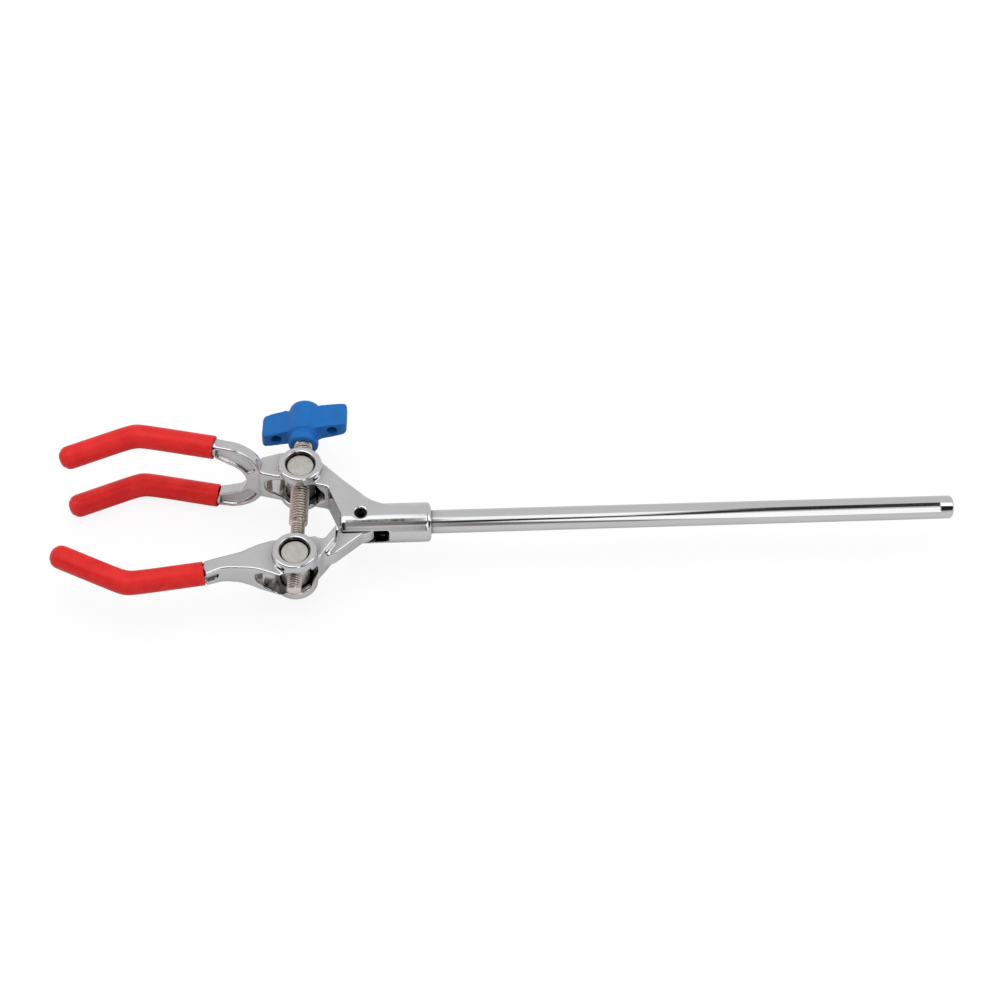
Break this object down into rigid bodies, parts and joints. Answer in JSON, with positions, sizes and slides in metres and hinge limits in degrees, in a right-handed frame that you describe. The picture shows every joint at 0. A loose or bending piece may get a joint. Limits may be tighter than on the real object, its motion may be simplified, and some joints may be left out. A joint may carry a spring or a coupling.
{
  "type": "three-prong laboratory clamp",
  "caption": "Laboratory clamp: a forked jaw and an opposing finger with soft sleeves hinge together, are set by a screw with a wing knob, and sit on a round support rod.",
  "frame": {"origin": "on the support rod's axis, where its full diameter begins 0.7 mm inside the free end face", "axes": "+X along the rod, out of its free end; +Y in the plane of the jaws, towards the wing knob; +Z along the hinge pin"},
  "size_m": [0.385, 0.0988, 0.0436],
  "materials": {
    "plated_casting": "bright nickel plate over a die casting, softly rounded edges",
    "plated_rod": "bright plated drawn rod",
    "spring_steel": "plain spring steel",
    "satin_nickel": "satin turned end faces",
    "screw_steel": "plated screw, warm grey",
    "blue_plastic": "moulded semi-matte plastic",
    "red_vinyl": "dipped soft vinyl, satin"
  },
  "bodies": {
    "fixed_side": {"fixed_fork_jaw": "plated_casting", "support_rod": "plated_rod", "pivot_pin": "spring_steel", "upper_finger_sleeve": "red_vinyl", "lower_finger_sleeve": "red_vinyl"},
    "moving_side": {"moving_jaw": "plated_casting", "single_finger_sleeve": "red_vinyl"},
    "upper_swivel": {"upper_trunnion": "satin_nickel"},
    "lower_swivel": {"lower_trunnion": "satin_nickel"},
    "screw": {"adjusting_screw": "screw_steel"},
    "knob": {"wing_knob": "blue_plastic"}
  },
  "joints": [
    {"name": "jaw_pivot", "type": "hinge", "parent": "fixed_side", "child": "moving_side", "pos_m": [-0.2554, 0, 0], "axis": [0, 0, 1], "range_deg": [-11, 35]},
    {"name": "upper_trunnion_swivel", "type": "hinge", "parent": "fixed_side", "child": "upper_swivel", "pos_m": [-0.28025, 0.02429, 0], "axis": [0, 0, 1], "range_deg": [-6, 18]},
    {"name": "lower_trunnion_swivel", "type": "hinge", "parent": "moving_side", "child": "lower_swivel", "pos_m": [-0.28316, -0.0209, 0], "axis": [0, 0, 1], "range_deg": [-18, 6]},
    {"name": "screw_travel", "type": "slide", "parent": "upper_swivel", "child": "screw", "axis": [0.0643, 0.9979, 0], "range_m": [-0.0083, 0.0027]},
    {"name": "knob_spin", "type": "hinge", "parent": "screw", "child": "knob", "pos_m": [-0.28025, 0.02429, 0], "axis": [0.0643, 0.9979, 0], "range_deg": [-735, 2330]}
  ],
  "couplings": [
    {"joint": "upper_trunnion_swivel", "follows": "jaw_pivot", "ratio": 0.5},
    {"joint": "lower_trunnion_swivel", "follows": "jaw_pivot", "ratio": -0.5},
    {"joint": "screw_travel", "follows": "jaw_pivot", "m_per_rad": -0.01316},
    {"joint": "knob_spin", "follows": "jaw_pivot", "ratio": 66.15}
  ]
}
